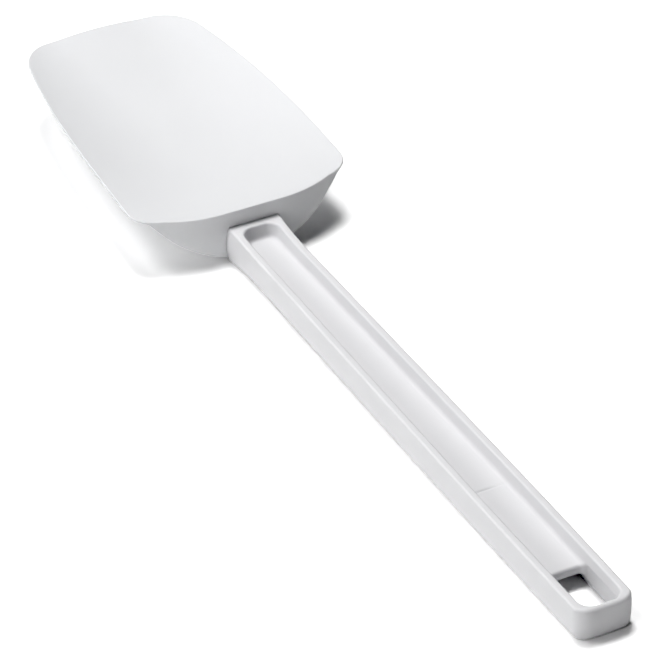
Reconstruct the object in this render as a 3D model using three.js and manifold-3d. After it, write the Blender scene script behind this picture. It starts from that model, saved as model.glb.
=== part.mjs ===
import * as THREE from 'three';
import { mergeVertices } from 'three/addons/utils/BufferGeometryUtils.js';
import Module from 'manifold-3d';

// Rubber spatula in millimetres. While it is shaped, +X runs from the butt of the handle to the
// tip of the blade, +Y to the left and +Z up, with the underside of the bar on z = 0.

// Overall
const overallLength = 343;
const clearance = 0.3;

// Handle bar, an I section: two rails on a central web
const barLength = 223.3;
const barHeight = 11;
const buttWidth = 19;
const bellyWidth = 19.4;
const bellyAt = 60;
const neckWidth = 17.6;
const edgeRound = 1;
const buttCorner = 4.4;
const buttCrown = 0.4;
const railWidth = 2.7;
const railChamfer = 0.5;
const endRail = 2.3;
const frontRail = 2.5;
const webThickness = 2.9;
const floorFillet = 1.3;
const grooveCorner = 4.2;
const slotLength = 22.7;
const slotStep = 0.2;

// Flared front end of the bar, where it meets the blade
const flareLength = 20;
const flareDrop = 1;
const flareSide = 0.3;
const flareBelly = 1;

// Tang, the paddle that the blade is moulded round
const tangLength = 36;
const tangNeckWidth = 12;
const tangWidth = 24;
const tangNeckLength = 5;
const tangThickness = 3.4;
const tangCorner = 6;
const tangHole = 7;
const tangHolePitch = 14;

// Blade
const bladeWidth = 78;
const rearBow = 4.6;
const rearCorner = 9;
const tipTaper = 0.28;
const tipBow = 1.8;
const tipCorner = 13;
const rimRearHeight = 17.7;
const rimTipHeight = 23.4;
const tipSag = 2;
const bowlDepth = 5.4;
const foldStart = 0.22;
const foldWidth = 14;
const lipThickness = 1.2;
const lipRound = 0.5;
const keelLength = 28.5;

const wasm = await Module();
wasm.setup();

// A closed body from a mesh: equal points become one, and triangles without area are left out.
function solid(geometry) {
  geometry.deleteAttribute('normal');
  geometry.deleteAttribute('uv');
  const merged = mergeVertices(geometry, 1e-4);
  const corners = merged.index.array;
  const triangles = [];
  for (let i = 0; i < corners.length; i += 3) {
    const [a, b, c] = corners.slice(i, i + 3);
    if (a !== b && b !== c && c !== a) {
      triangles.push(a, b, c);
    }
  }
  return new wasm.Manifold(new wasm.Mesh({
    numProp: 3,
    vertProperties: new Float32Array(merged.attributes.position.array),
    triVerts: new Uint32Array(triangles),
  }));
}

// A closed body through rows of points. Every row has the same count of points, which run
// anticlockwise seen from the last row. The two end rows are filled in, or close on themselves.
function loft(rows, filled = true) {
  const count = rows[0].length;
  const index = [];
  for (let r = 0; r + 1 < rows.length; r += 1) {
    for (let i = 0; i < count; i += 1) {
      const a = r * count + i;
      const b = r * count + ((i + 1) % count);
      index.push(a, b, b + count, a, b + count, a + count);
    }
  }
  const last = (rows.length - 1) * count;
  for (let i = 1; filled && i + 1 < count; i += 1) {
    index.push(0, i + 1, i);
    index.push(last, last + i, last + i + 1);
  }
  const geometry = new THREE.BufferGeometry();
  geometry.setAttribute('position', new THREE.Float32BufferAttribute(rows.flat(2), 3));
  geometry.setIndex(index);
  return solid(geometry);
}

const clamp = (v) => Math.min(1, Math.max(0, v));
const smooth = (a, b, v) => clamp((v - a) / (b - a)) ** 2 * (3 - 2 * clamp((v - a) / (b - a)));
const softMin = (a, b, k) => (a + b - Math.hypot(a - b, k)) / 2;
const bezier = (a, b, c, d, t) => (
  a * (1 - t) ** 3 + 3 * b * t * (1 - t) ** 2 + 3 * c * t * t * (1 - t) + d * t ** 3
);
const steps = (from, to, count) => (
  Array.from({ length: count + 1 }, (_, i) => from + ((to - from) * i) / count)
);

// How far a rounded corner draws a side in, at a distance from the end face
const drawIn = (radius, distance) => (
  distance >= radius ? 0 : radius - Math.sqrt(radius ** 2 - (radius - Math.max(0, distance)) ** 2)
);
// Stations through a rounded corner, close together where it turns fastest
const cornerStations = (radius, count) => (
  steps(0, Math.PI / 2, count).map((a) => radius * (1 - Math.cos(a)))
);

// Outside of the bar
const flare = (x) => clamp((x - barLength + flareLength) / flareLength) ** 2;
function barHalfWidth(x) {
  const neckAt = barLength - flareLength;
  const before = ((bellyAt - x) / bellyAt) ** 2 * (bellyWidth - buttWidth);
  const after = clamp((x - bellyAt) / (neckAt - bellyAt)) ** 1.25 * (bellyWidth - neckWidth);
  return (bellyWidth - (x < bellyAt ? before : after)) / 2 + flareSide * flare(x);
}
const barTop = (x) => barHeight + flareDrop * flare(x);
const barBottom = (x) => -flareDrop * flare(x);

// A rounded rectangle across the bar, anticlockwise seen from the tip; its sides may bulge
function roundedRing(x, halfWidth, bottom, top, radius, belly) {
  const middle = (bottom + top) / 2;
  const r = Math.min(radius, halfWidth * 0.95, (top - bottom) * 0.45);
  const points = [];
  const corner = (sy, sz, quarter) => {
    for (const a of steps(quarter * Math.PI / 2, (quarter + 1) * Math.PI / 2, 3)) {
      const y = sy * (halfWidth - r) + r * Math.cos(a);
      const z = middle + sz * (top - middle - r) + r * Math.sin(a);
      points.push([y, z]);
    }
  };
  const straight = (sy, sz) => {
    for (const share of [-0.5, 0, 0.5]) {
      points.push([sy * halfWidth, middle + sz * share * (top - middle - r)]);
    }
  };
  corner(1, 1, 0);
  corner(-1, 1, 1);
  straight(-1, -1);
  corner(-1, -1, 2);
  corner(1, -1, 3);
  straight(1, 1);
  return points.map(([y, z]) => {
    const rise = (z - middle) / (top - middle);
    return [x, y + Math.sign(y) * belly * (1 - rise ** 2), z];
  });
}

function barRing(x) {
  const inset = drawIn(edgeRound, x);
  const halfWidth = barHalfWidth(x) - drawIn(buttCorner, x) - inset * 0.3;
  const ring = roundedRing(x, halfWidth, barBottom(x) + inset, barTop(x) - inset, edgeRound,
    flareBelly * flare(x) ** 2);
  const crown = buttCrown * clamp(1 - x / buttCorner);
  return ring.map(([px, y, z]) => [px + crown * (y / (buttWidth / 2 - buttCorner)) ** 2, y, z]);
}

const barStations = [
  ...cornerStations(edgeRound, 3),
  ...cornerStations(buttCorner, 7).filter((x) => x > edgeRound * 1.2),
  ...steps(buttCorner, bellyAt, 5).slice(1),
  ...steps(bellyAt, barLength - flareLength, 8).slice(1),
  ...steps(barLength - flareLength, barLength, 9).slice(1),
];

// Groove between the rails, open at the top, and the same groove turned over for the underside
const webTop = (barHeight + webThickness) / 2;
const grooveHalfWidth = (x) => barHalfWidth(x) - railWidth;
const grooveEnd = barLength - frontRail;
function grooveRing(x, half) {
  const fillet = Math.min(floorFillet, half * 0.8);
  const top = barTop(x);
  const side = steps(0, Math.PI / 2, 4).map((a) => [
    half - fillet + fillet * Math.sin(a),
    webTop + fillet - fillet * Math.cos(a),
  ]);
  side.push([half, top - railChamfer], [half + railChamfer, top], [half + railChamfer, top + 3]);
  const left = side.map(([y, z]) => [x, y, z]);
  const right = side.map(([y, z]) => [x, -y, z]).reverse();
  return [...left, ...right];
}
const grooveStations = [
  ...cornerStations(grooveCorner, 6).map((x) => endRail + x),
  ...steps(endRail + grooveCorner, bellyAt, 4).slice(1),
  ...steps(bellyAt, barLength - flareLength, 8).slice(1),
  ...steps(barLength - flareLength, grooveEnd - grooveCorner, 4).slice(1),
  ...cornerStations(grooveCorner, 6).map((x) => grooveEnd - x).reverse().slice(1),
];
function groovePlan(x) {
  return grooveHalfWidth(x) - drawIn(grooveCorner, x - endRail)
    - drawIn(grooveCorner, grooveEnd - x);
}
const upperGroove = loft(grooveStations.map((x) => grooveRing(x, groovePlan(x))));
const turnOver = (ring) => ring.map(([x, y, z]) => [x, y, barHeight - z]).reverse();
const lowerGroove = loft(grooveStations.map((x) => turnOver(grooveRing(x, groovePlan(x)))));

// Hanging slot through the web at the butt, a small step inside the groove's walls
const slotStart = endRail + slotStep;
const slotEnd = slotStart + slotLength;
const slotStations = [
  ...cornerStations(grooveCorner, 6).map((x) => slotStart + x),
  ...steps(slotStart + grooveCorner, slotEnd, 3).slice(1),
];
const slot = loft(slotStations.map((x) => {
  const half = grooveHalfWidth(x) - drawIn(grooveCorner, x - slotStart) - slotStep;
  const top = webTop + floorFillet;
  const bottom = barHeight - top;
  return [[x, half, bottom], [x, half, top], [x, -half, top], [x, -half, bottom]];
}));

// Tang and, grown by the clearance, the socket that the blade leaves round it
const tangStart = barLength - 1;
const tangEnd = barLength + tangLength;
function tangHalfWidth(x) {
  const widen = smooth(tangNeckLength, tangNeckLength * 2.5, x - barLength);
  return tangNeckWidth / 2 + (tangWidth - tangNeckWidth) / 2 * widen;
}
function tangSolid(grow) {
  const end = tangEnd + grow;
  const stations = [
    tangStart,
    ...steps(barLength + tangNeckLength, barLength + tangNeckLength * 2.5, 6),
    ...cornerStations(tangCorner, 5).map((x) => end - x).reverse(),
  ];
  return loft(stations.map((x) => {
    const half = tangHalfWidth(x) + grow - drawIn(tangCorner, end - x);
    const top = (barHeight + tangThickness) / 2 + grow;
    return roundedRing(x, half, barHeight - top, top, 0.8, 0);
  }));
}
function tangPosts(radius) {
  const last = tangEnd - tangCorner - tangHole / 2;
  return [last, last - tangHolePitch].map((x) => {
    const post = new THREE.CylinderGeometry(radius, radius, barHeight * 1.5, 24);
    return solid(post.rotateX(Math.PI / 2).translate(x, 0, barHeight / 2));
  });
}

// Blade, seen from above
const bladeStart = barLength + clearance;
const bladeLength = overallLength - bladeStart;
const half = bladeWidth / 2;
const along = (x) => clamp((x - bladeStart) / bladeLength);
const sideHalfWidth = (x) => half * (1 - tipTaper * along(x) ** 3);
function halfOutline() {
  const path = new THREE.Path();
  const rearY = half - rearCorner;
  const seatY = barHalfWidth(barLength) + flareBelly;
  const sideFrom = bladeStart + rearBow + rearCorner;
  const sideTo = overallLength - tipBow - tipCorner;
  path.moveTo(bladeStart, 0);
  path.lineTo(bladeStart, seatY);
  path.quadraticCurveTo(bladeStart, (seatY + rearY) / 2, bladeStart + rearBow, rearY);
  path.quadraticCurveTo(bladeStart + rearBow * 1.5, sideHalfWidth(sideFrom),
    sideFrom, sideHalfWidth(sideFrom));
  const points = path.getPoints(9);
  points.push(...steps(sideFrom, sideTo, 14).slice(1).map((x) => (
    new THREE.Vector2(x, sideHalfWidth(x)))));
  const corner = new THREE.Path();
  const tipY = sideHalfWidth(overallLength) * 0.72;
  corner.moveTo(sideTo, sideHalfWidth(sideTo));
  corner.quadraticCurveTo(overallLength - tipBow - tipCorner * 0.2, sideHalfWidth(overallLength),
    overallLength - tipBow, tipY);
  corner.quadraticCurveTo(overallLength, tipY / 2, overallLength, 0);
  return [...points, ...corner.getPoints(8).slice(1)];
}

// Heights of the blade: rim, bowl and keel along it, then top and underside at any place
const restSlope = flareDrop / barLength;
const rimHeight = (t) => bezier(rimRearHeight, rimRearHeight + 4.8, rimTipHeight - 1.6,
  rimTipHeight, t);
const floorHeight = (t) => bezier(rimRearHeight, rimRearHeight - bowlDepth * 0.68,
  rimTipHeight - bowlDepth * 1.4, rimTipHeight - tipSag, t);
function topHeight(x, y) {
  const t = along(x);
  const fold = foldWidth * clamp((t - foldStart) / (1 - foldStart));
  const wing = clamp((Math.abs(y) - fold) / (sideHalfWidth(x) - fold));
  return rimHeight(t) - (rimHeight(t) - floorHeight(t)) * (1 - wing ** 2);
}
function underHeight(x, y) {
  const t = along(x);
  const keelEnd = bladeStart + keelLength;
  const rise = Math.max(0, (x - keelEnd) / (overallLength - keelEnd)) ** 1.3;
  const tipUnder = floorHeight(1) - lipThickness;
  const keel = -restSlope * x + (tipUnder + restSlope * overallLength) * rise;
  const out = Math.abs(y) / (sideHalfWidth(x) * 0.952);
  const bowl = Math.min(1, out ** 1.8 * (1 + 0.12 * smooth(0.65, 0.95, out)));
  const hull = keel + (rimHeight(t) - lipThickness - keel) * bowl;
  return softMin(hull, topHeight(x, y) - lipThickness, 0.6);
}

function bladeSolid() {
  const side = halfOutline();
  const mirrored = side.slice(1, -1).reverse().map((p) => new THREE.Vector2(p.x, -p.y));
  const outline = [...side, ...mirrored];
  const count = outline.length;
  const spineFrom = bladeStart + bladeLength * 0.25;
  const spineTo = bladeStart + bladeLength * 0.75;
  const outward = outline.map((p, i) => {
    const before = outline[(i + count - 1) % count];
    const after = outline[(i + 1) % count];
    return new THREE.Vector2(before.y - after.y, after.x - before.x).normalize();
  });
  const place = (i, inset, share) => {
    const edge = outline[i].clone().addScaledVector(outward[i], -inset);
    const spine = new THREE.Vector2(Math.min(spineTo, Math.max(spineFrom, edge.x)), 0);
    return spine.lerp(edge, share);
  };
  const ring = (inset, share, height) => outline.map((_, i) => {
    const p = place(i, inset, share);
    return [p.x, p.y, height(p.x, p.y)];
  });
  const shares = [0, 0.14, 0.28, 0.42, 0.55, 0.67, 0.78, 0.88, 0.95];
  const rows = [
    ...shares.map((s) => ring(lipRound, s, topHeight)),
    ring(lipRound, 1, topHeight),
    ring(lipRound * 0.3, 1, (x, y) => topHeight(x, y) - lipRound * 0.3),
    ring(0, 1, (x, y) => topHeight(x, y) - lipRound),
    ring(0, 1, (x, y) => underHeight(x, y) + lipRound),
    ring(lipRound * 0.3, 1, (x, y) => underHeight(x, y) + lipRound * 0.3),
    ring(lipRound, 1, underHeight),
    ...shares.slice().reverse().map((s) => ring(lipRound, s, underHeight)),
  ];
  return loft(rows, false);
}

// A named mesh of a finished body
function piece(name, body, material) {
  const mesh = body.getMesh();
  const geometry = new THREE.BufferGeometry();
  geometry.setAttribute('position', new THREE.Float32BufferAttribute(mesh.vertProperties, 3));
  geometry.setIndex(Array.from(mesh.triVerts));
  geometry.computeVertexNormals();
  const out = new THREE.Mesh(geometry, material);
  out.name = name;
  return out;
}

const bar = loft(barStations.map(barRing));
let handle = bar.subtract(upperGroove).subtract(lowerGroove).subtract(slot).add(tangSolid(0));
for (const hole of tangPosts(tangHole / 2)) {
  handle = handle.subtract(hole);
}

let socket = tangSolid(clearance);
for (const post of tangPosts(tangHole / 2 - clearance)) {
  socket = socket.subtract(post);
}
const blade = bladeSolid().subtract(socket);

const plastic = new THREE.MeshStandardMaterial({ color: 0xe6e5e3, roughness: 0.55, metalness: 0 });
const rubber = new THREE.MeshStandardMaterial({ color: 0xeef0f3, roughness: 0.7, metalness: 0 });

// The spatula lies turned up at the front, so that the butt and the keel both rest on z = 0, with
// its middle at x = 0.
const lying = new THREE.Group();
lying.rotation.y = -Math.atan(restSlope);
lying.position.x = -overallLength / 2;
lying.add(piece('handle', handle, plastic));
lying.add(piece('blade', blade, rubber));

const spatula = new THREE.Group();
spatula.add(lying);
export default spatula;
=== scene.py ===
import math

import bmesh
import bpy
import numpy as np
from mathutils import Matrix, Vector


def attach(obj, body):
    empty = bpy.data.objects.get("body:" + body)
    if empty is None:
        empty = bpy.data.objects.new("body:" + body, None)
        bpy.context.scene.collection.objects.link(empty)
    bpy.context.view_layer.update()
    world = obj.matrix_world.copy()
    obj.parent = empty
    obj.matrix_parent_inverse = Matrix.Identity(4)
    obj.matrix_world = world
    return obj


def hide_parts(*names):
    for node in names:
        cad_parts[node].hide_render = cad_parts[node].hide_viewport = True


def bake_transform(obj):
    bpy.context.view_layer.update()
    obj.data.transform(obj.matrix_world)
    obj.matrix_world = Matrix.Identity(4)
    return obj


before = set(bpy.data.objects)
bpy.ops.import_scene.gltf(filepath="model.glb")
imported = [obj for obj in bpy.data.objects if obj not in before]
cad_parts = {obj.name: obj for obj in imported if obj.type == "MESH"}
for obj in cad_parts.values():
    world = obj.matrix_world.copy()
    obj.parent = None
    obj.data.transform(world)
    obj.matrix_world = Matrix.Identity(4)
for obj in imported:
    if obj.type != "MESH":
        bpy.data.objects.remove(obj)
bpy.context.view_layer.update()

# The handle is one stiff white plastic moulding. An I-section bar has a groove in its upper and its lower
# face and a hanging slot through the web at the butt. Its front end swells a little where it meets the
# blade. It is drawn in millimetres from the butt towards the tip, then laid as it rests on a table.
bar_length, bar_height, bar_face = 223.3, 11.0, 223.55
butt_width, belly_width, neck_width, belly_at, neck_curve = 19.0, 19.4, 17.6, 60.0, 1.25
bar_edge, foot_edge, butt_edge, wall_crown = 0.7, 1.8, 1.2, 0.3
butt_at, butt_corner, butt_crown = 0.54, 4.4, 0.16
flare_length, flare_drop, flare_side, flare_belly, face_back = 20.0, 1.0, 0.3, 1.0, 0.25
rail, rail_lip, butt_rail, front_rail = 2.7, 0.8, 2.6, 2.5
web, web_fillet, groove_corner, wall_draft = 2.9, 1.6, 4.2, 0.3
slot_end, web_edge, web_lip, web_corner = 24.5, 1.2, 0.3, 2.2
witness_at, witness_depth, witness_width, witness_height = 69.0, 0.5, 0.4, 0.6
witness_mean, witness_tilt, witness_reach, witness_clear = 0.55, 0.45, 6.0, 3.0
overall_length = 343.0
lean = math.atan(flare_drop / bar_length)


def laid(points):
    """Millimetres along the bar to metres on the table, with the front raised on its flare."""
    x, y, z = np.moveaxis(np.asarray(points, float), -1, 0)
    on_table = x * math.cos(lean) - z * math.sin(lean) - overall_length / 2
    return np.stack([on_table, y, x * math.sin(lean) + z * math.cos(lean)], -1) / 1000


def flare(x):
    """0 along the plain bar, rising to 1 at its front end."""
    return np.clip((x - bar_length + flare_length) / flare_length, 0, 1) ** 2


def bar_half(x):
    """Half the width of the bar: widest at its belly, slim at the neck."""
    before = (np.maximum(belly_at - x, 0) / belly_at) ** 2 * (belly_width - butt_width)
    neck = bar_length - flare_length - belly_at
    after = np.clip((x - belly_at) / neck, 0, 1) ** neck_curve * (belly_width - neck_width)
    return (belly_width - before - after) / 2 + flare_side * flare(x)


def loop(x, y, z):
    """A closed row of points from one that runs along one side of the bar, from butt to front."""
    x, y, z = np.broadcast_arrays(x, y, z)
    right = np.stack([x, -y, z], -1)
    left = np.stack([x, y, z], -1)[::-1][1:-1]
    return np.concatenate([right, left])


def inward(x, y):
    """Unit steps from an outline towards the inside of the bar."""
    dx, dy = np.gradient(x), np.gradient(y)
    size = np.hypot(dx, dy)
    return dy / size, -dx / size


def welded(name, sheets, caps=()):
    """One mesh from sheets of points in millimetres: joined where they meet, with faces outwards."""
    weld_gap, sliver = 2e-6, 1e-7
    made = bmesh.new()
    for grid in sheets:
        verts = [[made.verts.new(p) for p in row] for row in laid(grid)]
        for lower, upper in zip(verts, verts[1:]):
            for i in range(len(lower) - 1):
                made.faces.new((lower[i], lower[i + 1], upper[i + 1], upper[i]))
    for ring in caps:
        made.faces.new([made.verts.new(p) for p in laid(ring)])
    bmesh.ops.remove_doubles(made, verts=made.verts, dist=weld_gap)
    bmesh.ops.dissolve_degenerate(made, dist=sliver, edges=made.edges)
    bmesh.ops.recalc_face_normals(made, faces=made.faces)
    for face in made.faces:
        face.smooth = True
    mesh = bpy.data.meshes.new(name)
    made.to_mesh(mesh)
    made.free()
    piece = bpy.data.objects.new(name, mesh)
    bpy.context.scene.collection.objects.link(piece)
    return piece


def settle(piece):
    """The piece's modifiers become its mesh."""
    seen = piece.evaluated_get(bpy.context.evaluated_depsgraph_get())
    mesh = bpy.data.meshes.new_from_object(seen)
    piece.modifiers.clear()
    piece.data = mesh
    mesh.name = piece.name


def carve(piece, tool, operation):
    """Joins the tool to the piece or cuts it out, and clears the tool away."""
    cut = piece.modifiers.new("cut", "BOOLEAN")
    cut.operation, cut.solver, cut.object = operation, "EXACT", tool
    settle(piece)
    bpy.data.objects.remove(tool)


# Stations along one side: butt end, butt corner, beside the slot, beside the web, front corner, front end
across, turn = 8, 10
quarter = np.linspace(0, math.pi / 2, turn + 1)
groove_front = bar_length - front_rail
web_side = slot_end + web_edge - web_corner
witness_x = witness_at + witness_width * np.linspace(-3, 3, 13)
plain_to, flare_from = 200.0, 201.5
side_x = np.concatenate([np.linspace(web_side, witness_at - witness_clear, 13), witness_x,
                         np.linspace(witness_at + witness_clear, plain_to, 36),
                         np.linspace(flare_from, groove_front - groove_corner, 12)])
slot_x = np.linspace(0, 1, 13)
slot_column = across + turn + len(slot_x) - 1
web_columns = len(side_x) + turn

# Outline of the bar, crowned at the butt
crown_y = bar_half(0) - butt_corner
round_x = butt_corner * (1 - np.cos(quarter))
round_y = bar_half(round_x) - butt_corner * (1 - np.sin(quarter))
end_y = np.linspace(0, crown_y, across + 1)[:-1]
half_turn = turn // 2
front_side = np.linspace(side_x[-1], bar_face, half_turn + 1)[1:]
face_from = bar_half(bar_length)
face_to = bar_half(groove_front) - rail - groove_corner
face_y = np.concatenate([np.linspace(face_from, face_to, turn - half_turn + 1)[1:],
                         np.linspace(face_to, 0, across + 1)[1:]])
run_x = np.concatenate([round_x[-1] + slot_x * (web_side - round_x[-1]), side_x[1:], front_side])[1:]
bar_x = np.concatenate([0 * end_y, round_x, run_x, bar_face + 0 * face_y])
bar_y = np.concatenate([end_y, round_y, bar_half(run_x), face_y])
in_x, in_y = inward(bar_x, bar_y)
at_butt = np.clip(1 - bar_x / butt_corner, 0, 1)
bar_x = bar_x + at_butt * (butt_at + butt_crown * (bar_y / crown_y) ** 2)
on_front = len(bar_x) - len(face_y)
in_x[0], in_y[0] = 1, 0
in_x[on_front - 1], in_y[on_front - 1] = -face_back, -1
in_x[on_front:], in_y[on_front:] = -face_back, 0
bar_top = bar_height + flare_drop * flare(bar_x)
bar_bottom = -flare_drop * flare(bar_x)
edge = bar_edge + (butt_edge - bar_edge) * at_butt
foot = edge + (foot_edge - bar_edge) * (1 - at_butt) * (1 - flare(bar_x))


def bar_ring(inset, z):
    """The bar's outline at a height, drawn in by the inset, with its barrelled walls and swollen front."""
    rise = (z - bar_height / 2) / (bar_top - bar_height / 2)
    swell = 1 + flare_belly * flare(bar_x) ** 2 * (1 - rise ** 2) / bar_half(bar_x)
    step = inset - wall_crown * (1 - flare(bar_x)) * (1 - rise ** 2)
    return loop(bar_x + in_x * step, (bar_y + in_y * step) * swell, z)


# Outline of the groove
near_x = butt_rail + groove_corner * (1 - np.cos(quarter))
near_y = bar_half(near_x) - rail - groove_corner * (1 - np.sin(quarter))
groove_end = np.linspace(0, near_y[0], across + 1)[:-1]
far_x = groove_front - groove_corner * (1 - np.cos(quarter[::-1]))
far_y = bar_half(far_x) - rail - groove_corner * (1 - np.sin(quarter[::-1]))
front_end = np.linspace(far_y[-1], 0, across + 1)[1:]
mid_x = np.concatenate([near_x[-1] + slot_x * (web_side - near_x[-1]), side_x[1:]])[1:]
groove_x = np.concatenate([butt_rail + 0 * groove_end, near_x, mid_x, far_x[1:],
                           groove_front + 0 * front_end])
groove_y = np.concatenate([groove_end, near_y, bar_half(mid_x) - rail, far_y[1:], front_end])
step_x, step_y = inward(groove_x, groove_y)
step_x[:across + 1], step_y[:across + 1] = 1, 0
step_x[-across - 1:], step_y[-across - 1:] = -1, 0
groove_top = bar_height + flare_drop * flare(groove_x)
wall_lean = math.atan(wall_draft)
lip_foot = groove_top - rail_lip * (1 - math.sin(wall_lean))
floor_top = (bar_height + web) / 2
fillet_top = floor_top + web_fillet * (1 - math.sin(wall_lean))
columns = 2 * (len(groove_x) - 1)


def groove_ring(inset, z, x=groove_x):
    """The groove's outline at a height, drawn in by the inset."""
    return loop(x + step_x * inset, groove_y + step_y * inset, z)


def turned_over(rows):
    """The same rows on the lower face of the bar."""
    return [r * (1, 1, -1) + (0, 0, bar_height) for r in rows]


def closed(rows):
    """A sheet from rows that each come back to their first point."""
    return np.stack([np.concatenate([r, r[:1]]) for r in rows])


# Outer wall with its rounded edges, then the flat of the rails round the mouth of each groove
bend = np.linspace(0, math.pi / 2, 7)
outer = [bar_ring(edge * (1 - math.sin(a)), bar_top - edge * (1 - math.cos(a))) for a in bend]
for share in np.linspace(0, 1, 10)[1:-1]:
    outer.append(bar_ring(0, (bar_top - edge) * (1 - share) + (bar_bottom + foot) * share))
outer += [bar_ring(foot * (1 - math.sin(a)), bar_bottom + foot * (1 - math.cos(a))) for a in bend[::-1]]
mouth = []
for a in np.linspace(0, math.pi / 2 - wall_lean, 7):
    over_lip = rail_lip * (math.sin(a) - math.cos(wall_lean))
    mouth.append(groove_ring(over_lip, groove_top - rail_lip * (1 - math.cos(a))))
rail_flat = [bar_ring(edge, bar_top), mouth[0]]
rail_foot = [bar_ring(foot, bar_bottom), turned_over(mouth)[0]]
handle_sheets = [closed(outer), closed(rail_flat), closed(rail_foot)]


def web_back(from_wall):
    """How far the end of the web lies back from where it meets the slot's wall, rounded in plan."""
    return math.sqrt(web_corner ** 2 - max(web_corner - from_wall, 0) ** 2)


# Walls of the groove, drafted for the mould, down to the floor fillets
wall = []
for share in np.linspace(0, 1, 6)[1:]:
    z = lip_foot * (1 - share) + fillet_top * share
    wall.append(groove_ring(wall_draft * (lip_foot - z), z))
draft = wall_draft * (lip_foot - fillet_top)
fillet = []
for a in np.linspace(wall_lean, math.pi / 2, 7):
    from_wall = web_fillet * (math.cos(wall_lean) - math.cos(a))
    fillet_z = fillet_top - web_fillet * (math.sin(a) - math.sin(wall_lean))
    fillet.append(groove_ring(draft + from_wall, fillet_z))
    fillet[-1][[slot_column, -slot_column], 0] += web_back(from_wall)
in_groove = slice(slot_column, columns - slot_column + 1)
groove_rows = [r[in_groove] for r in mouth + wall[:-1] + fillet]
rungs = []
evenly, even_from = np.linspace(0, 1, 2 * across + 1), 4
near_walls = (1 - np.cos(math.pi * evenly)) / 2
for i in range(web_columns):
    right, left = fillet[-1][slot_column + i], fillet[-1][columns - slot_column - i]
    share = evenly + (near_walls - evenly) * max(0, 1 - i / even_from)
    rungs.append(right + (left - right) * share[:, None])
slot_wall = fillet[0][-slot_column, 1]
rungs[0][1:-1, 0] = [web_side + web_back(slot_wall - abs(y)) for y in rungs[0][1:-1, 1]]


def witness(rows):
    """A faint line across the floor, left by the insert in the mould and clearest on the left."""
    marked = []
    for r in rows:
        near = np.clip(1 - (r[:, 2] - floor_top) / witness_height, 0, 1)
        to_left = np.clip(r[:, 1] / witness_reach, -1, 1)
        depth = witness_depth * (witness_mean + witness_tilt * to_left)
        dip = near * depth * np.exp(-((r[:, 0] - witness_at) / witness_width) ** 2)
        marked.append(r - dip[:, None] * (0, 0, 1))
    return np.stack(marked)


handle_sheets += [witness(groove_rows), witness(rungs)]
handle_sheets += [np.stack(turned_over(groove_rows)), np.stack(turned_over(rungs))]

# Walls of the hanging slot, right through the bar, and the rounded end of the web that they meet
slot_columns = np.r_[columns - slot_column:columns, 0:slot_column + 1]
slot_rows = [r[slot_columns] for r in mouth + wall]
web_turn = np.linspace(0, math.pi / 2, 6)
upper_rows = [(web_edge * math.sin(a), web_edge * (1 - math.cos(a))) for a in web_turn]
lower_rows = [(web_edge - web_lip * (1 - math.sin(a)), web_lip * (1 - math.cos(a)))
              for a in web_turn[::-1]]
upper, straight = len(upper_rows), 5
face_rows = upper_rows + [(web_edge, web_edge)] * straight + lower_rows + [(0, 0)]
edge_of_web = np.concatenate([[r[slot_column] for r in fillet], rungs[0][1:-1],
                              [r[columns - slot_column] for r in fillet[::-1]]])
end_face = []
for i, (push, drop) in enumerate(face_rows):
    half_way = np.clip((i - upper + 1) / (straight + 1), 0, 1)
    wall_z = (fillet_top - drop) * (1 - half_way) + (bar_height - fillet_top + drop) * half_way
    web_z = (edge_of_web[:, 2] - drop) * (1 - half_way)
    web_z = web_z + (bar_height - edge_of_web[:, 2] + drop) * half_way
    end_x = groove_x.copy()
    end_x[slot_column] -= push
    ring = groove_ring(draft, wall_z, end_x)
    if i:
        slot_rows.append(ring[slot_columns])
    across_web = np.stack([edge_of_web[:, 0] - push, edge_of_web[:, 1], web_z], -1)
    across_web[0], across_web[-1] = ring[slot_column], ring[columns - slot_column]
    end_face.append(across_web)
slot_rows += [r[slot_columns] for r in turned_over((mouth + wall)[::-1])[1:]]
handle_sheets += [np.stack(slot_rows), np.stack(end_face)]
handle = welded("handle_moulding", handle_sheets)

# The tang is the flat paddle of the same moulding that the blade is moulded round; rubber fills its holes
tang_length, tang_neck, tang_width = 36.0, 12.0, 24.0
tang_root, tang_neck_length, tang_full_at = 1.0, 5.0, 12.5
tang_thickness, tang_corner, tang_round, tang_hole, tang_pitch = 3.4, 6.0, 0.8, 7.0, 14.0
edge_points, pin_points, pin_over = 32, 48, 3.0


def tang(name, grow):
    """The paddle, grown all round: a neck, shoulders that widen to its full width, and a round end."""
    end = bar_length + tang_length + grow
    tang_turn = np.linspace(math.pi / 2, 0, 9)
    shoulder = bar_length + np.linspace(tang_neck_length, tang_full_at, 9)
    x = np.concatenate([[bar_length - tang_root], shoulder,
                        end - tang_corner * (1 - np.cos(tang_turn))])
    shoulder_length = tang_full_at - tang_neck_length
    widen = np.clip((x - bar_length - tang_neck_length) / shoulder_length, 0, 1)
    half = tang_neck / 2 + (tang_width - tang_neck) / 2 * widen ** 2 * (3 - 2 * widen) + grow
    back = np.clip(tang_corner - (end - x), 0, tang_corner)
    half = half - tang_corner + np.sqrt(tang_corner ** 2 - back ** 2)
    thick = tang_thickness / 2 + grow
    angles = (np.arange(edge_points) + 0.5) * 2 * math.pi / edge_points
    rings = []
    for place, reach in zip(x, half):
        y = (reach - tang_round) * np.sign(np.cos(angles)) + tang_round * np.cos(angles)
        z = (thick - tang_round) * np.sign(np.sin(angles)) + tang_round * np.sin(angles)
        rings.append(np.stack([place + 0 * y, y, bar_height / 2 + z], -1))
    return welded(name, [closed(rings)], [rings[0], rings[-1]])


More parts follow.
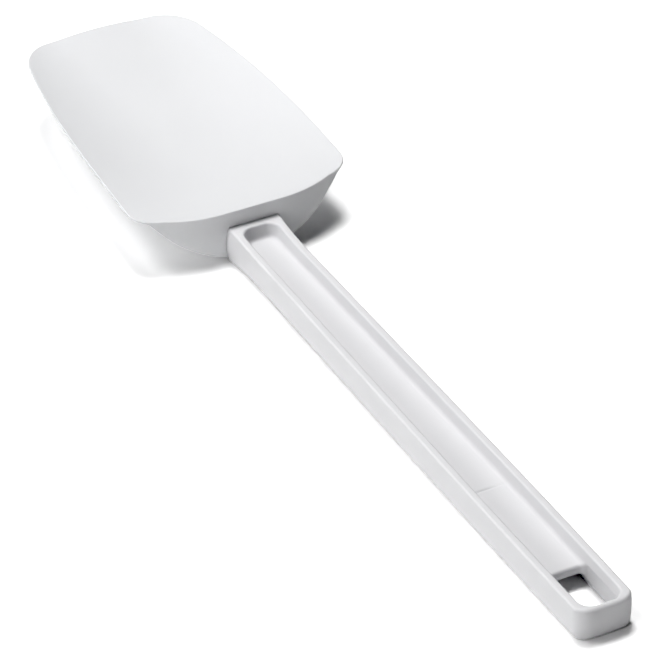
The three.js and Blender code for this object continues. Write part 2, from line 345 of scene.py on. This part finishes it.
def tang_pins(name, radius):
    """The two pins that stand in the holes of the paddle."""
    last = bar_length + tang_length - tang_corner - tang_hole / 2
    angles = np.arange(pin_points) * 2 * math.pi / pin_points
    rings = []
    for x in (last, last - tang_pitch):
        rings.append([np.stack([x + radius * np.cos(angles), radius * np.sin(angles), z + 0 * angles], -1)
                      for z in (-pin_over, bar_height + pin_over)])
    return welded(name, [closed(pair) for pair in rings], [r for pair in rings for r in pair])


carve(handle, tang("tang", 0), "UNION")
carve(handle, tang_pins("tang_holes", tang_hole / 2), "DIFFERENCE")
even = handle.modifiers.new("even_shading", "WEIGHTED_NORMAL")
even.keep_sharp, even.weight = True, 60
settle(handle)


class Wire:
    """A socket in a sum: each operator adds the Math node that works it out."""

    def __init__(self, tree, socket=None):
        self.tree, self.socket = tree, socket

    def node(self, kind, settings=(), sockets=(), out=0):
        """A new node: its settings first, then the values or links of its sockets."""
        made = self.tree.nodes.new(kind)
        for name, value in dict(settings).items():
            if name == "stops":
                ramp = made.color_ramp.elements
                while len(ramp) < len(value):
                    ramp.new(1)
                for stop, (place, shade) in zip(ramp, value):
                    stop.position, stop.color = place, shade
            else:
                setattr(made, name, value)
        for name, value in dict(sockets).items():
            if isinstance(value, Wire):
                self.tree.links.new(value.socket, made.inputs[name])
            else:
                made.inputs[name].default_value = value
        return Wire(self.tree, made.outputs[out])

    def maths(self, operation, *values, clamp=False):
        settings = {"operation": operation, "use_clamp": clamp}
        return self.node("ShaderNodeMath", settings, enumerate(values))

    def __add__(self, other):
        return self.maths("ADD", self, other)

    def __sub__(self, other):
        return self.maths("SUBTRACT", self, other)

    def __rsub__(self, other):
        return self.maths("SUBTRACT", other, self)

    def __mul__(self, other):
        return self.maths("MULTIPLY", self, other)

    def __truediv__(self, other):
        return self.maths("DIVIDE", self, other)

    def __pow__(self, other):
        return self.maths("POWER", self, other)

    __radd__, __rmul__ = __add__, __mul__


def new_finish(name):
    """A new material, its shader, and the start and the place that its patterns are worked out from."""
    finish = bpy.data.materials.new(name)
    finish.use_nodes = True
    shader = next(n for n in finish.node_tree.nodes if n.type == "BSDF_PRINCIPLED")
    start = Wire(finish.node_tree)
    return finish, shader, start, start.node("ShaderNodeTexCoord", out="Object")


def wire_up(shader, **wires):
    """Links each wire to the shader's socket of that name."""
    for name, wire in wires.items():
        wire.tree.links.new(wire.socket, shader.inputs[name.replace("_", " ")])


def mark_edges(piece):
    """Writes how sharply each point stands out, so that the finish can rub its raised edges."""
    fully_raised = 0.3
    seen = bmesh.new()
    seen.from_mesh(piece.data)
    worn = [max([0] + [e.calc_face_angle_signed(0) for e in v.link_edges]) for v in seen.verts]
    seen.free()
    mark = piece.data.attributes.new("raised_edge", "FLOAT", "POINT")
    mark.data.foreach_set("value", np.clip(np.array(worn) / fully_raised, 0, 1).astype(np.float32))


# Satin white plastic: fine grain from the mould, faint flow streaks along the bar, and raised edges that
# handling has rubbed a little smoother
white_plastic, shader, start, place = new_finish("satin_white_plastic")
cloud_tone, streak_tone, streak_height = 0.9, 0.5, 0.6
satin, streak_rough, grain_rough, rub_polish = 0.46, 0.14, 0.1, 0.07
rubbed = start.node("ShaderNodeAttribute", {"attribute_name": "raised_edge"}, out="Fac")
cloud = start.node("ShaderNodeTexNoise", {}, {"Vector": place, "Scale": 38.0, "Detail": 3.0})
along_bar = start.node("ShaderNodeMapping", {}, {"Vector": place, "Scale": (9.0, 140.0, 140.0)})
streak = start.node("ShaderNodeTexNoise", {}, {"Vector": along_bar, "Scale": 1.0, "Detail": 4.0})
grain = start.node("ShaderNodeTexNoise", {}, {"Vector": place, "Scale": 2600.0, "Detail": 2.0})
tone = (cloud - 0.5) * cloud_tone + (streak - 0.5) * streak_tone + 0.5
plastic_whites = [(0.0, (0.728, 0.727, 0.740, 1)), (0.5, (0.750, 0.749, 0.762, 1)),
                  (1.0, (0.770, 0.769, 0.782, 1))]
plastic_white = start.node("ShaderNodeValToRGB", {"stops": plastic_whites}, {"Fac": tone})
plastic_rough = satin + (streak - 0.5) * streak_rough + (grain - 0.5) * grain_rough - rubbed * rub_polish
grain_bump = start.node("ShaderNodeBump", {}, {"Height": grain + streak * streak_height, "Strength": 0.16,
                                               "Distance": 0.00006})
wire_up(shader, Base_Color=plastic_white, Roughness=plastic_rough, Normal=grain_bump)
shader.inputs["IOR"].default_value = 1.49
shader.inputs["Specular IOR Level"].default_value = 0.3
shader.inputs["Subsurface Weight"].default_value = 0.3
shader.inputs["Subsurface Radius"].default_value = (1, 1, 1)
shader.inputs["Subsurface Scale"].default_value = 0.002
mark_edges(handle)
handle.data.materials.clear()
handle.data.materials.append(white_plastic)
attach(handle, "handle")
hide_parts("handle")

# The blade is one soft white rubber moulding, shaped like a shallow spoon: a thin lip round the sides and
# the tip, a dish that is closed at the back, and a tall rear wall that takes the end of the bar. It is
# moulded straight onto the tang.
blade_sizes = {
    "Start": 223.6, "End": 342.98, "Half width": 39.0, "Seat half width": 10.1,
    "Rear bow": 4.6, "Rear corner": 9.0, "Rear corner draw": 1.5,
    "Tip taper": 0.28, "Tip bow": 1.8, "Tip corner": 13.0, "Tip corner draw": 0.2, "Tip flat": 0.72,
    "Spine from": 0.25, "Spine to": 0.75,
    "Rim at the rear": 17.7, "Rim at the tip": 23.32, "Rim rise": 4.8, "Rim ease": 1.6,
    "Tip sag": 2.0, "Dish depth": 5.4, "Dish at the rear": 0.68, "Dish at the tip": 1.4,
    "Fold start": 0.22, "Fold width": 14.0, "Lip": 0.8, "Lip round": 0.38,
    "Keel": 28.5, "Keel curve": 1.3, "Rest slope": flare_drop / bar_length,
    "Hull reach": 0.952, "Hull curve": 1.8, "Hull swell": 0.12, "Swell from": 0.65, "Swell to": 0.95,
    "Hull blend": 0.3,
}
blade_form = bpy.data.node_groups.new("blade_form", "GeometryNodeTree")
size_sockets = {name: blade_form.interface.new_socket(name, in_out="INPUT", socket_type="NodeSocketFloat")
                for name in blade_sizes}
rubber_socket = blade_form.interface.new_socket("Rubber", in_out="INPUT",
                                                socket_type="NodeSocketMaterial")
blade_form.interface.new_socket("Blade", in_out="OUTPUT", socket_type="NodeSocketGeometry")
given = blade_form.nodes.new("NodeGroupInput")
size = {name: Wire(blade_form, given.outputs[name]) for name in blade_sizes}
start = Wire(blade_form)

# A grid is wrapped round the blade: one way runs round the outline from the rear, the other from the
# middle of the dish over the lip to the middle of the underside
edge_columns, top_rows, lip_rows, wall_rows = 400, 30, 5, 10
row_count = 2 * top_rows + 2 * lip_rows + wall_rows
grid = start.node("GeometryNodeMeshGrid", {}, {"Size X": 1.0, "Size Y": 1.0,
                                               "Vertices X": edge_columns + 1,
                                               "Vertices Y": row_count + 1})
on_grid = start.node("GeometryNodeInputPosition")
column = start.node("ShaderNodeSeparateXYZ", {}, {"Vector": on_grid}, "X") + 0.5
row = (start.node("ShaderNodeSeparateXYZ", {}, {"Vector": on_grid}, "Y") + 0.5) * row_count
left_or_right = start.maths("SIGN", 0.5 - column)
round_edge = 1 - start.maths("ABSOLUTE", column * 2 - 1)


def part_of(value, low, high):
    """How far a value has come from low to high, kept from 0 to 1."""
    return start.maths("DIVIDE", value - low, high - low, clamp=True)


def arc(share, a, b, c):
    """How far a curve from a to c, drawn towards b, has come from a."""
    return (b - a) * share * (1 - share) * 2 + (c - a) * share * share


def cubic(share, a, b, c, d):
    """A curve from a to d, drawn towards b and then c."""
    rest = 1 - share
    return a * rest ** 3 + b * share * rest ** 2 * 3 + c * share * share * rest * 3 + d * share ** 3


def along(x):
    """The share of the blade's length from its rear."""
    return part_of(x, size["Start"], size["End"])


def side_half(x):
    """Half the width of the blade, which narrows to the tip."""
    return size["Half width"] * (1 - size["Tip taper"] * along(x) ** 3)


# Outline: seat for the bar, bowed rear, rear corner, side, tip corner, tip
ends = (0, 0.06, 0.18, 0.32, 0.72, 0.88, 1)
seat, bow, corner, side, tip_turn, tip = (part_of(round_edge, a, b) for a, b in zip(ends, ends[1:]))
bow_x = size["Start"] + size["Rear bow"]
side_from = bow_x + size["Rear corner"]
tip_x = size["End"] - size["Tip bow"]
side_to = tip_x - size["Tip corner"]
on_side = side_from + (side_to - side_from) * side
edge_x = (size["Start"] + on_side - side_from
          + arc(bow, size["Start"], size["Start"], bow_x)
          + arc(corner, bow_x, size["Start"] + size["Rear bow"] * size["Rear corner draw"], side_from)
          + arc(tip_turn, side_to, tip_x - size["Tip corner"] * size["Tip corner draw"], tip_x)
          + arc(tip, tip_x, size["End"], size["End"]))
rear_y = size["Half width"] - size["Rear corner"]
corner_y, tip_y = side_half(side_from), side_half(size["End"]) * size["Tip flat"]
edge_y = (size["Seat half width"] * seat
          + arc(bow, size["Seat half width"], (size["Seat half width"] + rear_y) * 0.5, rear_y)
          + arc(corner, rear_y, corner_y, corner_y)
          + side_half(on_side) - corner_y
          + arc(tip_turn, side_half(side_to), side_half(size["End"]), tip_y)
          + arc(tip, tip_y, tip_y * 0.5, 0.0))

# Each row of the grid lies on that outline, drawn in towards a spine along the middle
blade_length = size["End"] - size["Start"]
spine_x = start.maths("MAXIMUM", edge_x, size["Start"] + blade_length * size["Spine from"])
spine_x = start.maths("MINIMUM", spine_x, size["Start"] + blade_length * size["Spine to"])
reach = start.maths("SQRT", (edge_x - spine_x) ** 2 + edge_y ** 2)
lip_from, wall_from = top_rows, top_rows + lip_rows
wall_to, lip_to = wall_from + wall_rows, wall_from + wall_rows + lip_rows
over = part_of(row, 0, lip_from) * (math.pi / 2)
over_lip = part_of(row, lip_from, wall_from) * (math.pi / 2)
down = part_of(row, wall_from, wall_to)
under_lip = part_of(row, wall_to, lip_to) * (math.pi / 2)
under = part_of(row, lip_to, row_count) * (math.pi / 2)
inset = size["Lip round"] * (2 - start.maths("SINE", over_lip) - start.maths("COSINE", under_lip))
share = start.maths("SINE", over) * start.maths("COSINE", under) * (1 - inset / reach)
x = spine_x + (edge_x - spine_x) * share
y = edge_y * share

# Height of the dish: the rim and the floor along the blade, with a flat middle that widens to the tip
from_rear = along(x)
rim = cubic(from_rear, size["Rim at the rear"], size["Rim at the rear"] + size["Rim rise"],
            size["Rim at the tip"] - size["Rim ease"], size["Rim at the tip"])
dish_tip = size["Rim at the tip"] - size["Tip sag"]
dish = cubic(from_rear, size["Rim at the rear"],
             size["Rim at the rear"] - size["Dish depth"] * size["Dish at the rear"],
             size["Rim at the tip"] - size["Dish depth"] * size["Dish at the tip"], dish_tip)
fold = size["Fold width"] * part_of(from_rear, size["Fold start"], 1)
wing = part_of(y, fold, side_half(x))
top_z = rim - (rim - dish) * (1 - wing * wing)

# Height of the underside: a keel along the table, rising to the tip, and a rounded hull up to the lip
keel_end = size["Start"] + size["Keel"]
rise = start.maths("MAXIMUM", (x - keel_end) / (size["End"] - keel_end), 0.0) ** size["Keel curve"]
tip_rise = dish_tip - size["Lip"] + size["Rest slope"] * size["End"]
keel_z = tip_rise * rise - size["Rest slope"] * x
out = y / (side_half(x) * size["Hull reach"])
ease = part_of(out, size["Swell from"], size["Swell to"])
swell = 1 + size["Hull swell"] * ease * ease * (3 - 2 * ease)
hull = start.maths("MINIMUM", out ** size["Hull curve"] * swell, 1.0)
hull_z = keel_z + (rim - size["Lip"] - keel_z) * hull
skin_z = top_z - size["Lip"]
gap = hull_z - skin_z
under_z = (hull_z + skin_z - start.maths("SQRT", gap * gap + size["Hull blend"])) * 0.5
lip_z = top_z - size["Lip round"] * (1 - start.maths("COSINE", over_lip))
foot_z = under_z + size["Lip round"] * (1 - start.maths("SINE", under_lip))
z = lip_z + (foot_z - lip_z) * down

# Laid on the table in metres, as the handle is
millimetre = 0.001
table_x = (x * math.cos(lean) - z * math.sin(lean) - overall_length / 2) * millimetre
table_y = y * left_or_right * millimetre
table_z = (x * math.sin(lean) + z * math.cos(lean)) * millimetre
point = start.node("ShaderNodeCombineXYZ", {}, {"X": table_x, "Y": table_y, "Z": table_z})
shaped = start.node("GeometryNodeSetPosition", {}, {"Geometry": grid, "Position": point})
shut = start.node("GeometryNodeMergeByDistance", {}, {"Geometry": shaped, "Distance": 0.000004})
smooth = start.node("GeometryNodeSetShadeSmooth", {}, {"Geometry": shut, "Shade Smooth": True})
solid = start.node("GeometryNodeRealizeInstances", {}, {"Geometry": smooth})
rubber_given = Wire(blade_form, given.outputs["Rubber"])
coated = start.node("GeometryNodeSetMaterial", {}, {"Geometry": solid, "Material": rubber_given})
leave = blade_form.nodes.new("NodeGroupOutput")
blade_form.links.new(coated.socket, leave.inputs["Blade"])

# White food rubber: matte and a little chalky, with a fine skin from the mould and slight clouding
white_rubber, shader, start, place = new_finish("matte_white_rubber")
cloud_tone, skin_tone, cloud_height = 0.8, 0.15, 2.0
matte, cloud_rough, skin_rough, rub_drag = 0.62, 0.12, 0.12, 0.04
rubbed = start.node("ShaderNodeAttribute", {"attribute_name": "raised_edge"}, out="Fac")
cloud = start.node("ShaderNodeTexNoise", {}, {"Vector": place, "Scale": 26.0, "Detail": 4.0})
skin = start.node("ShaderNodeTexNoise", {}, {"Vector": place, "Scale": 1500.0, "Detail": 3.0})
tone = (cloud - 0.5) * cloud_tone + (skin - 0.5) * skin_tone + 0.5
rubber_whites = [(0.0, (0.754, 0.759, 0.771, 1)), (0.5, (0.774, 0.779, 0.791, 1)),
                 (1.0, (0.794, 0.799, 0.811, 1))]
rubber_white = start.node("ShaderNodeValToRGB", {"stops": rubber_whites}, {"Fac": tone})
rubber_rough = matte + (cloud - 0.5) * cloud_rough + (skin - 0.5) * skin_rough + rubbed * rub_drag
skin_bump = start.node("ShaderNodeBump", {}, {"Height": skin + cloud * cloud_height, "Strength": 0.14,
                                              "Distance": 0.00006})
wire_up(shader, Base_Color=rubber_white, Roughness=rubber_rough, Normal=skin_bump)
shader.inputs["IOR"].default_value = 1.43
shader.inputs["Subsurface Weight"].default_value = 0.3
shader.inputs["Subsurface Radius"].default_value = (1, 1, 1)
shader.inputs["Subsurface Scale"].default_value = 0.001

# The form is made, and the room for the tang and its posts is cut out of it
blade = bpy.data.objects.new("blade_moulding", bpy.data.meshes.new("blade_moulding"))
bpy.context.scene.collection.objects.link(blade)
form = blade.modifiers.new("blade_form", "NODES")
form.node_group = blade_form
for name, socket in size_sockets.items():
    form[socket.identifier] = blade_sizes[name]
form[rubber_socket.identifier] = white_rubber
settle(blade)
tang_gap = 0.3
tang_room = tang("tang_room", tang_gap)
carve(tang_room, tang_pins("rubber_posts", tang_hole / 2 - tang_gap), "DIFFERENCE")
carve(blade, tang_room, "DIFFERENCE")
mark_edges(blade)
blade.data.materials.clear()
blade.data.materials.append(white_rubber)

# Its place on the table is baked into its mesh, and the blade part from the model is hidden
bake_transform(blade)
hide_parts("blade")

# The table is a plain matte white sheet that the butt and the keel rest on. It ends where the light on it
# still burns out to white, so that its edge is lost in the white room behind. The camera sees it
# overexposed, as on a product photograph, but it lights the part only as a white sheet does.
table = bpy.data.objects.new("table", bpy.data.meshes.new("table"))
bpy.context.scene.collection.objects.link(table)
half_table = 0.7
table_corners = [(-half_table, -half_table, 0), (half_table, -half_table, 0), (half_table, half_table, 0),
                 (-half_table, half_table, 0)]
table.data.from_pydata(table_corners, [], [(0, 1, 2, 3)])
white_sheet, shader, start, _ = new_finish("white_sheet")
sheet_bounce, sheet_seen = 0.96, 1.36
to_camera = start.node("ShaderNodeLightPath", out="Is Camera Ray")
wire_up(shader, Base_Color=sheet_bounce + (sheet_seen - sheet_bounce) * to_camera)
shader.inputs["Roughness"].default_value = 0.9
table.data.materials.append(white_sheet)

# Soft studio light: five round boxes, the strongest overhead and on the left. The room is a plain white
# backdrop to the camera and gives the object next to no light. The black level keeps the tight shadows
# under the bar as deep as in a product photograph.
scene = bpy.context.scene
scene.view_settings.view_transform = "Standard"
scene.view_settings.use_curve_mapping = True
black_level = 0.08
scene.view_settings.curve_mapping.black_level = (black_level,) * 3
room = bpy.data.worlds.new("room")
room.use_nodes = True
backdrop = room.node_tree.nodes["Background"]
backdrop.inputs["Color"].default_value = (1, 1, 1, 1)
room_light, room_white = 0.01, 1.0
to_camera = Wire(room.node_tree).node("ShaderNodeLightPath", out="Is Camera Ray")
wire_up(backdrop, Strength=room_light + (room_white - room_light) * to_camera)
scene.world = room


def soft_box(name, azimuth, elevation, width, watts):
    """A round lamp that faces the object, placed by angles from the tip and above the table."""
    distance = 2.0
    lamp = bpy.data.lights.new(name, "AREA")
    lamp.shape, lamp.size, lamp.energy = "DISK", width, watts
    box = bpy.data.objects.new(name, lamp)
    scene.collection.objects.link(box)
    turned, raised = math.radians(azimuth), math.radians(elevation)
    level = Vector((math.cos(turned), math.sin(turned), 0))
    towards = level * math.cos(raised) + Vector((0, 0, math.sin(raised)))
    box.location = towards * distance
    box.rotation_euler = towards.to_track_quat("Z", "Y").to_euler()
    box.visible_camera = False


soft_box("overhead_box", azimuth=345, elevation=75, width=0.6, watts=21.9)
soft_box("left_box", azimuth=112, elevation=22, width=1.0, watts=13.2)
soft_box("far_left_box", azimuth=62, elevation=61, width=0.7, watts=11.9)
soft_box("far_right_box", azimuth=330, elevation=64, width=0.7, watts=4.9)
soft_box("far_box", azimuth=30, elevation=30, width=1.1, watts=4.0)

# The camera stands behind the butt, to its left and above, with a long lens. Its place is in millimetres
# from the butt, as the bar is drawn, and its angles are from the line of the bar.
camera_place = (-790.1, 507.6, 763.3)
turned_right, tipped_down = math.radians(27.891), math.radians(35.066)
picture_width, lens_in_pixels = 665, 4200
level = Vector((math.cos(turned_right), -math.sin(turned_right), 0))
ahead = level * math.cos(tipped_down) - Vector((0, 0, math.sin(tipped_down)))
upward = level * math.sin(tipped_down) + Vector((0, 0, math.cos(tipped_down)))
aim = Matrix((ahead.cross(upward), upward, -ahead)).transposed()
lens = bpy.data.cameras.new("photograph")
lens.sensor_width, lens.clip_end = 36, 100
lens.lens = lens_in_pixels * lens.sensor_width / picture_width
view = bpy.data.objects.new("photograph", lens)
scene.collection.objects.link(view)
raise_front = Matrix.Rotation(-lean, 3, "Y")
view.matrix_world = Matrix.Translation(laid(camera_place)) @ (raise_front @ aim).to_4x4()
scene.camera = view
